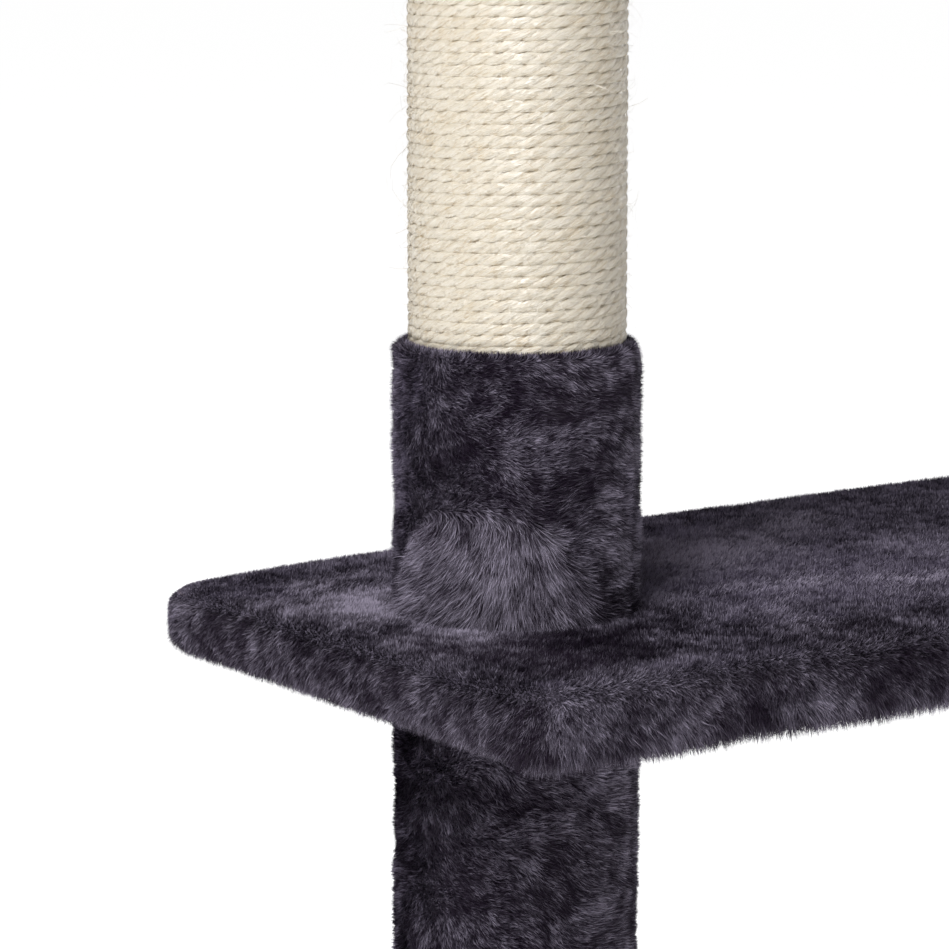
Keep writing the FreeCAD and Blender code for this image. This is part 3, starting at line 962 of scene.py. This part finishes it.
# Painted light and shade on the shelf's pile: a lit back edge and a lit patch on the top, painted shadow
# round the left post's foot and along the front edge, and lighter and darker patches.
SHELF_PAINTED_LIGHT = (
    ((-270, 25, 392), (11, 46, 10), 0.20), ((-282, -28, 392), (10, 28, 8), -0.28),
    ((-285, 78, 392), (24, 30, 8), 0.10), ((-298, 20, 390), (9, 16, 9), -0.26),
    ((-290, -62, 390), (16, 34, 10), -0.26), ((-240, -80, 392), (44, 22, 10), -0.62),
    ((-248, -54, 392), (28, 14, 8), -0.40), ((-255, -101, 392), (34, 13, 8), -0.40),
    ((-228, -58, 392), (20, 9, 8), -0.35), ((-200, -56, 392), (18, 10, 8), -0.40),
    ((-20, 128, 390), (150, 7, 12), 0.22), ((-266, 6, 392), (8, 32, 8), 0.16),
    ((-288, -129, 386), (14, 9, 11), 0.26), ((-306, -116, 374), (8, 14, 10), -0.16),
    ((-85, -5, 392), (80, 60, 10), 0.60),
    ((-135, -104, 392), (62, 13, 10), -0.34), ((-306, 74, 384), (8, 18, 9), -0.20),
    ((-306, 28, 379), (8, 13, 12), 0.12), ((-270, -131, 368), (14, 8, 9), -0.20),
    ((-306, -75, 372), (8, 26, 8), 0.08), ((-172, -38, 392), (16, 14, 10), -0.40),
    ((-188, -104, 392), (20, 22, 8), 0.14), ((-66, -36, 392), (34, 18, 10), 0.30),
    ((-140, -132, 392), (44, 20, 10), -0.34), ((-128, -134, 381), (26, 10, 9), -0.30),
    ((-84, 84, 392), (26, 26, 10), 0.24),
)


def board_rule(node, seed, marks, pressed):
    """How the pile lies on a covered board: swirls on top, brushed down at the sides.

    marks are oval marks of painted light and shade in the tree's own frame; pressed are where the pile
    lies shorter."""
    front_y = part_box(node)[0].y

    def rule(points, normals):
        flat = points * (1, 1, 0)
        swirl = wander(flat, 75 * MM, seed) + 0.5 * wander(flat, 24 * MM, seed + 1)
        heading = math.radians(-60) + 2.2 * swirl
        top = np.stack((np.cos(heading), np.sin(heading), 0 * heading), axis=1)
        sideways = np.stack((-normals[:, 1], normals[:, 0], 0 * heading), axis=1)
        sway = wander(points, 30 * MM, seed + 2) + 0.6 * wander(points, 10 * MM, seed + 3)
        drop = smooth_step(points[:, 2], 6 * MM, 22 * MM)
        side = np.outer(-drop, (0, 0, 1.0)) + (0.9 * sway + 1 - drop)[:, None] * sideways
        on_top = smooth_step(normals[:, 2], 0.45, 0.9)
        below = smooth_step(-normals[:, 2], 0.5, 0.9)
        comb = top * on_top[:, None] + side * (1 - on_top)[:, None]
        patches = wander(points, 42 * MM, seed + 4) + 0.8 * wander(points, 16 * MM, seed + 5)
        painted_light = oval_marks(points, marks)
        # Tone: random patches, painted light lifting the top faces by 0.30, and the marks' painted light
        # and shade.
        shade = BOARD_TONE + (0.36 - 0.16 * on_top) * patches + 0.30 * on_top + painted_light
        turned = smooth_step(normals[:, 2], 0.15, 0.5) * (1 - smooth_step(normals[:, 2], 0.85, 0.98))
        under = smooth_step(-normals[:, 2], 0.1, 0.6)
        front = 1 - smooth_step(points[:, 1] - front_y, 12 * MM, 22 * MM)
        length = 0.28 + 0.20 * (1 - on_top) + 0.05 * sway + (0.12 + 0.42 * front) * under * drop
        low_down = 1 - smooth_step(points[:, 2], 4 * MM, 10 * MM)
        trodden = low_down * smooth_step(-normals[:, 2], 0.05, 0.3)
        length = length * (1 - 0.5 * np.clip(oval_marks(points, pressed) / 2, 0, 1))
        lean = 0.66 + 0.36 * on_top + 0.22 * patches + 0.3 * under - 0.7 * np.minimum(painted_light, 0)
        return {
            "comb": unit(comb),
            "grow": (1 - (1 - HEM_PILE_SHARE) * below) * (1 - 0.25 * on_top),
            "reach": length * (1 - 0.25 * turned),
            "lean": np.clip(lean, 0.35, 1.3) * (1 - trodden) + 0.05 * trodden,
            "tone": np.clip(shade, 0.05, 1.05),
        }

    return rule


# ------------------------------------------------------------------ rope


def rope_piece(name, node, rope, material):
    """A rope of three twisted strands wound up a post, turn against turn."""
    low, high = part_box(node)
    centre = (low + high) / 2
    start, end = low.z - rope.tuck + rope.pitch / 2, high.z + rope.tuck - rope.pitch / 2
    turns = (end - start) / rope.pitch
    rings = round(turns * rope.steps) + 1
    half_deep, half_high = ROPE_HALF_DEPTH, rope.pitch / 2 * ROPE_OVERLAP
    round_post = TUBE_R + half_deep
    outer = np.radians((-102, -74, -49, -24, 0, 24, 49, 74, 102))
    angles = np.concatenate((outer, np.radians((150, 210))))
    order = np.arange(rings)
    turned = 2 * math.pi * order / rope.steps
    length = turned * round_post
    line = np.stack((length, 0 * length, 0 * length), axis=1)
    wobble = [wander(line, size * MM, size) for size in (50, 20, 60, 9, 14)]
    twist = 2 * math.pi * length / rope.lay + 1.3 * wobble[2] + 0.5 * wobble[4]
    points = np.zeros((rings, len(angles), 3))
    laid = np.zeros_like(points)
    outward = np.stack((np.cos(turned), np.sin(turned), 0 * turned), axis=1)
    onward = np.stack((-np.sin(turned), np.cos(turned), 0 * turned), axis=1)
    upward = np.array((0, 0, 1.0))
    slope = 2 * math.pi * half_deep / rope.lay
    for j, angle in enumerate(angles):
        lobe = np.abs(np.cos(1.5 * (angle - twist)))
        swell = (0.75 + 0.28 * lobe) * (1 + 0.10 * wobble[3])
        deep = round_post + half_deep * swell * math.cos(angle) + 0.12 * MM * wobble[0]
        rise = start + rope.pitch * order / rope.steps + 0.16 * MM * wobble[1]
        points[:, j] = outward * deep[:, None] + (centre.x, centre.y, 0)
        points[:, j, 2] = rise + half_high * swell * math.sin(angle)
        laid[:, j] = onward + slope * (math.cos(angle) * upward - math.sin(angle) * outward)
    count = len(angles)
    i, j = np.meshgrid(np.arange(rings - 1), np.arange(count), indexing="ij")
    k = (j + 1) % count
    quads = np.stack((i * count + j, (i + 1) * count + j, (i + 1) * count + k, i * count + k), axis=-1)
    faces = quads.reshape(-1, 4).tolist()
    faces.append(list(range(count)))
    faces.append([(rings - 1) * count + c for c in reversed(range(count))])
    piece = mesh_object(name, points.reshape(-1, 3), faces, material)

    full = np.append(angles, angles[0] + 2 * math.pi)
    corner_i = np.stack((i, i + 1, i + 1, i), axis=-1).reshape(-1)
    corner_j = np.stack((j, j, j + 1, j + 1), axis=-1).reshape(-1)
    first_i = np.repeat(i.reshape(-1), 4)
    strand = np.zeros((len(corner_i) + 2 * count, 2))
    strand[: len(corner_i), 0] = length[corner_i]
    strand[: len(corner_i), 1] = (full[corner_j] - twist[corner_i]) / (2 * math.pi)
    baked = np.zeros_like(strand)
    turn = first_i // rope.steps
    baked[: len(corner_i), 0] = 0.002 + 0.996 * (corner_i - turn * rope.steps) / rope.steps
    share = (full[corner_j] - full[0]) / (2 * math.pi)
    baked[: len(corner_i), 1] = (turn + 0.02 + 0.96 * share) / (math.ceil(turns) + 1)
    for label, values in (("OFBake", baked), ("Strand", strand)):
        layer = piece.data.uv_layers.new(name=label)
        layer.data.foreach_set("uv", values.astype(np.float32).ravel())
    face_outwards(piece)
    groove = np.tile(smooth_step(np.abs(np.sin(angles / 2)), 0.42, 0.68), rings)
    set_attribute(piece.data, "groove", groove)
    # The fibres are fewer and shorter in the grooves, and their tone drops there as painted shade.
    fields = {
        "comb": unit(laid.reshape(-1, 3)), "reach": 1 - 0.5 * groove, "grow": 1 - 0.8 * groove,
        "lean": np.full(len(groove), 0.02),
        "tone": 0.66 - 0.5 * groove + 0.28 * wander(points.reshape(-1, 3), 6 * MM, 9),
    }
    return piece, fields, turns * 2 * math.pi * round_post


def hair_carrier(node):
    """A plain tube just at the rope's crests, for loose hairs to grow from."""
    low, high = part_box(node)
    centre = (low + high) / 2
    around, levels, clear = 48, 24, 4 * MM
    tall = high.z - low.z - 2 * clear
    profile = [(ROPED_R, low.z + clear + tall * i / levels) for i in range(levels + 1)]
    points = turned_points(centre, profile, around)
    return mesh_object("hair_carrier", points, ring_faces(len(profile), around))


def hair_rule(points, normals):
    """Loose hairs lie along the rope and stand off it a little."""
    level = np.cross(np.broadcast_to((0, 0, 1.0), normals.shape), normals)
    patches = wander(points, 30 * MM, 5)
    return {
        "comb": unit(level), "grow": np.clip(0.6 + 1.2 * patches, 0.05, 2), "tone": 0.55 + 0.3 * patches,
        "reach": np.ones(len(points)), "lean": np.full(len(points), 0.28),
    }


def zone_is_empty(piece):
    """Whether a piece's growth fields let nothing grow on it."""
    grown = np.zeros(len(piece.data.vertices))
    piece.data.attributes["grow"].data.foreach_get("value", grown)
    return grown.max() < 0.01


def clear_fields(piece):
    """Removes the growth fields from a finished skin."""
    for label in ("comb", "grow", "reach", "lean", "tone"):
        if label in piece.data.attributes:
            piece.data.attributes.remove(piece.data.attributes[label])


# ------------------------------------------------------------------ operators


class CATTREE_OT_stage(bpy.types.Operator):
    """Makes the pale floor, the soft lights and the camera"""

    bl_idname = "cattree.stage"
    bl_label = "Studio"

    def execute(self, context):
        studio = context.scene.cattree_studio
        self.place_camera(context, studio)
        self.lay_floor()
        self.light_room(context, studio)
        return {"FINISHED"}

    def place_camera(self, context, studio):
        """The camera stands off the left column, a little above the shelf."""
        shelf_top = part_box("shelf_cover")[1].z
        low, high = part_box(LEFT_POST + "_tube")
        post = (low + high) / 2
        ahead = Vector((-math.sin(studio.turn), math.cos(studio.turn), 0))
        right = Vector((ahead.y, -ahead.x, 0))
        spot = Vector((post.x, post.y, shelf_top + studio.rise))
        spot -= ahead * studio.distance + right * studio.sideways
        data = bpy.data.cameras.new("camera")
        data.lens, data.sensor_width, data.clip_end = studio.lens, 36.0, 100.0
        camera = bpy.data.objects.new("camera", data)
        camera.location = spot
        camera.rotation_euler = (math.pi / 2 - studio.pitch, 0, studio.turn)
        context.scene.collection.objects.link(camera)
        context.scene.camera = camera

    def lay_floor(self):
        """A white floor just under the base, clear from below so that the underside shows."""
        material, tree, shader = new_material("studio_white")
        shader.inputs["Base Color"].default_value = (0.94, 0.94, 0.94, 1)
        shader.inputs["Roughness"].default_value = 0.9
        shader.inputs["Specular IOR Level"].default_value = 0.0
        shader.inputs["Emission Color"].default_value = (1, 1, 1, 1)
        shader.inputs["Emission Strength"].default_value = 0.85
        below = tree.nodes.new("ShaderNodeNewGeometry").outputs["Backfacing"]
        tree.links.new(calc(tree, "SUBTRACT", 1.0, below), shader.inputs["Alpha"])
        material.cycles.emission_sampling = "NONE"
        size, level = 30.0, -0.6 * MM
        corners = [(x * size, y * size, level) for x, y in ((-1, -1), (1, -1), (1, 1), (-1, 1))]
        mesh_object("floor", corners, [(0, 1, 2, 3)], material)

    def light_room(self, context, studio):
        """A dim white room, a large soft key from the front left and a weaker rim from behind."""
        scene = context.scene
        scene.view_settings.view_transform = "Standard"
        scene.view_settings.look = "None"
        world = bpy.data.worlds.new("room")
        world.use_nodes = True
        background = world.node_tree.nodes["Background"]
        background.inputs["Color"].default_value = (1, 1, 1, 1)
        background.inputs["Strength"].default_value = studio.room_light
        scene.world = world
        target = Vector((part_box(LEFT_POST + "_tube")[0].x, 0, 0.45))
        ahead = Vector((-math.sin(studio.turn), math.cos(studio.turn), 0))
        right = Vector((ahead.y, -ahead.x, 0))
        lamps = (
            ("key", -ahead * 1.25 - right * 0.58 + Vector((0, 0, 1.7)), 1.1, studio.key_power),
            ("rim", ahead * 1.2 + right * 0.9 + Vector((0, 0, 1.1)), 0.9, 0.18 * studio.key_power),
        )
        for name, offset, size, power in lamps:
            data = bpy.data.lights.new(name, "AREA")
            data.shape, data.size, data.energy = "DISK", size, power
            lamp = bpy.data.objects.new(name, data)
            lamp.location = target + offset
            lamp.rotation_euler = (-offset).to_track_quat("-Z", "Y").to_euler()
            scene.collection.objects.link(lamp)


class CATTREE_OT_hardware(bpy.types.Operator):
    """Gives the boards, tubes, foam, felt and fasteners their finishes"""

    bl_idname = "cattree.hardware"
    bl_label = "Boards and hardware"

    def execute(self, context):
        made = {
            "fibreboard": board_material(
                "fibreboard", (0.50, 0.37, 0.23), (0.34, 0.23, 0.13), 1500.0, (1, 1, 1)
            ),
            "cardboard": board_material(
                "cardboard", (0.47, 0.35, 0.22), (0.36, 0.25, 0.15), 700.0, (1, 1, 3)
            ),
            "felt": felt_material(),
            "foam": foam_material(),
            "staple_wire": steel_material("staple_wire", (0.62, 0.61, 0.57), (1, 1, 1)),
            "zinc_steel": steel_material("zinc_steel", (0.72, 0.73, 0.74), (1, 1, 4)),
        }
        slots = {s["node"]: s["material_slot"] for s in frame["record"]["subparts"]}
        for node, piece in frame["nodes"].items():
            if slots[node] in made:
                piece.data.materials.clear()
                piece.data.materials.append(made[slots[node]])
        return {"FINISHED"}


class CATTREE_OT_sisal(bpy.types.Operator):
    """Winds the sisal rope round the posts and adds its loose hairs"""

    bl_idname = "cattree.sisal"
    bl_label = "Sisal rope"

    def execute(self, context):
        rope = context.scene.cattree_rope
        material, hairs = rope_material(rope), stray_material()
        template, tuft = hair_template(), tuft_template()
        for index, node in enumerate((LEFT_POST + "_sisal", "right_post_sisal")):
            piece, fields, length = rope_piece(node + "_rope", node, rope, material)
            print(f"{node}: {length:.2f} m of rope")
            for label, zone, density, width in (
                ("near", in_view, 1.9e6, 0.34 * MM), ("far", out_of_view, 0.35e6, 0.75 * MM)
            ):
                comb_surface(piece, lambda points, normals: fields, zone)
                if zone_is_empty(piece):
                    continue
                fibres = grow(
                    f"{node}_{label}_fibres", piece, tuft, hairs, density, 2.9 * MM, width,
                    60 + index, disorder=0.25, tone_spread=0.35, lock_turn=0.1, lock_tone=0.1,
                )
                finish_piece(fibres)
            clear_fields(piece)
            finish_piece(piece, [node])
            carrier = hair_carrier(node)
            comb_surface(carrier, hair_rule)
            for label, density, reach, width in (
                ("long", 7e3, 13 * MM, 0.13 * MM), ("short", 6e4, 4.5 * MM, 0.10 * MM)
            ):
                loose = grow(
                    f"{node}_{label}_hairs", carrier, template, hairs, density, reach, width,
                    40 + index, disorder=3.1, tone_spread=0.4, lock_turn=0.0,
                )
                finish_piece(loose)
            bpy.data.objects.remove(carrier)
        bpy.data.objects.remove(template)
        bpy.data.objects.remove(tuft)
        return {"FINISHED"}


class CATTREE_OT_post_plush(bpy.types.Operator):
    """Covers the posts and their collars in plush"""

    bl_idname = "cattree.post_plush"
    bl_label = "Post plush"

    def execute(self, context):
        plush = context.scene.cattree_plush
        backing, fibres, tuft = backing_material(plush), pile_material(plush), tuft_template()
        fine = (plush.fine_density * 1e6, plush.tuft_width)
        coarse = (plush.coarse_density * 1e6, plush.coarse_width)
        far = ("_far", out_of_view, (0.7 * coarse[0], coarse[1] * 1.2))
        shaded = (0.75 * fine[0], fine[1] * 1.15)
        jobs = (
            (LEFT_POST + "_lower_collar", ("top",), FAN_HEIGHT, COLLAR_PAINTED_LIGHT,
             [("_near", in_view, fine), far]),
            ("left_lower_post_cover", (), 0.0, (), [("_near", in_view, shaded), far]),
            (LEFT_POST + "_upper_collar", ("bottom",), 0.0, (), [("", None, coarse)]),
            ("right_post_lower_collar", ("top",), FAN_HEIGHT, (), [("", None, coarse)]),
            ("right_post_upper_collar", ("bottom",), 0.0, (), [("", None, coarse)]),
        )
        for index, (node, open_ends, fan_top, marks, growths) in enumerate(jobs):
            skin = sleeve_skin(node + "_plush", node, open_ends)
            skin.data.materials.append(backing)
            rule = sleeve_rule(node, 10 * index + 1, fan_top, marks)
            for extra, zone, (density, width) in growths:
                comb_surface(skin, rule, zone)
                piece = grow(
                    node + extra + "_pile", skin, tuft, fibres, density, plush.pile_length, width,
                    plush.seed + index, disorder=0.32, tone_spread=0.46, lock_size=3.4 * MM,
                    lock_turn=0.35, lock_tone=0.30,
                )
                finish_piece(piece)
            clear_fields(skin)
            finish_piece(skin, [node])
        bpy.data.objects.remove(tuft)
        return {"FINISHED"}


class CATTREE_OT_board_plush(bpy.types.Operator):
    """Wraps the base, the shelf and the perch in plush"""

    bl_idname = "cattree.board_plush"
    bl_label = "Board plush"

    def execute(self, context):
        plush = context.scene.cattree_plush
        backing, fibres, tuft = backing_material(plush), pile_material(plush), tuft_template()
        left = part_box(LEFT_POST + "_tube")[0].x + TUBE_R
        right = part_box("right_post_tube")[0].x + TUBE_R
        fine = (plush.fine_density * 1e6, plush.tuft_width)
        coarse = (plush.coarse_density * 1e6, plush.coarse_width)
        middle = left + 40 * MM

        def level(points, normals):
            return smooth_step(normals[:, 2], 0.6, 0.8)

        def west(points, normals):
            return 1 - smooth_step(points[:, 0], middle - MM, middle + MM)

        jobs = (
            ("base", ((left, True), (right, True)), BASE_UNDER, 0.0, (), [
                ("", None, (0.6 * coarse[0], coarse[1] * 1.25))]),
            ("shelf", ((left, True), (left, False), (right, False)), BOARD_UNDER, 0.0, SHELF_PAINTED_LIGHT, [
                ("_top_left", lambda p, n: in_view(p, n) * level(p, n) * west(p, n), fine),
                ("_top_right", lambda p, n: in_view(p, n) * level(p, n) * (1 - west(p, n)),
                 (0.70 * fine[0], fine[1] * 1.25)),
                ("_side_left", lambda p, n: in_view(p, n) * (1 - level(p, n)) * west(p, n), fine),
                ("_side_right", lambda p, n: in_view(p, n) * (1 - level(p, n)) * (1 - west(p, n)), fine),
                ("_far", out_of_view, coarse)]),
            ("perch", ((left, False),), BOARD_UNDER, PERCH_CROWN, (), [("", None, coarse)]),
        )
        for index, (part, holes, under, crown, marks, growths) in enumerate(jobs):
            node = part + "_cover"
            pressed = SHELF_PRESSED if part == "shelf" else ()
            step = (8 if part == "base" else 5) * MM
            skin = wrap_skin(part + "_plush", node, under, holes, crown, step, pressed)
            skin.data.materials.append(backing)
            rule = board_rule(node, 60 + 10 * index, marks, pressed)
            for extra, zone, (density, width) in growths:
                comb_surface(skin, rule, zone)
                longer = 1.35 if width > 2 * plush.tuft_width else 1.0
                piece = grow(
                    part + extra + "_pile", skin, tuft, fibres, density, longer * plush.pile_length, width,
                    plush.seed + 20 + index, disorder=0.7, tone_spread=0.36, lock_size=4 * MM,
                    lock_turn=0.5, lock_tone=0.26,
                )
                finish_piece(piece)
            clear_fields(skin)
            self.thicken(skin)
            finish_piece(skin, [node])
            if part == "perch":
                continue
        bpy.data.objects.remove(tuft)
        return {"FINISHED"}

    def thicken(self, skin):
        """Gives the finished skin the thickness of a cloth backing."""
        solid = skin.modifiers.new("Backing", "SOLIDIFY")
        solid.thickness, solid.offset = 1.4 * MM, -1.0


class CATTREE_PT_panel(bpy.types.Panel):
    """The finishing steps and their settings"""

    bl_idname = "CATTREE_PT_panel"
    bl_label = "Cat Tree"
    bl_space_type = "VIEW_3D"
    bl_region_type = "UI"
    bl_category = "Cat Tree"

    def draw(self, context):
        column = self.layout.column()
        for settings, steps in (
            (context.scene.cattree_studio, (CATTREE_OT_stage,)),
            (context.scene.cattree_rope, (CATTREE_OT_sisal,)),
            (context.scene.cattree_plush, (CATTREE_OT_post_plush, CATTREE_OT_board_plush)),
            (None, (CATTREE_OT_hardware,)),
        ):
            for step in steps:
                column.operator(step.bl_idname)
            for label in getattr(settings, "__annotations__", ()):
                column.prop(settings, label)


SETTINGS = {
    "cattree_plush": CATTREE_PG_plush,
    "cattree_rope": CATTREE_PG_rope,
    "cattree_studio": CATTREE_PG_studio,
}
STEPS = (
    CATTREE_OT_stage, CATTREE_OT_hardware, CATTREE_OT_sisal, CATTREE_OT_post_plush,
    CATTREE_OT_board_plush,
)


def register():
    """Adds the settings, steps and panel."""
    for cls in (*SETTINGS.values(), *STEPS, CATTREE_PT_panel):
        bpy.utils.register_class(cls)
    for name, cls in SETTINGS.items():
        setattr(bpy.types.Scene, name, PointerProperty(type=cls))


def unregister():
    """Takes them out again, in reverse."""
    for name in SETTINGS:
        delattr(bpy.types.Scene, name)
    for cls in reversed((*SETTINGS.values(), *STEPS, CATTREE_PT_panel)):
        bpy.utils.unregister_class(cls)


def main():
    """Runs every step in order."""
    register()
    for step in STEPS:
        area, name = step.bl_idname.split(".")
        getattr(getattr(bpy.ops, area), name)()


if __name__ == "__main__":
    main()
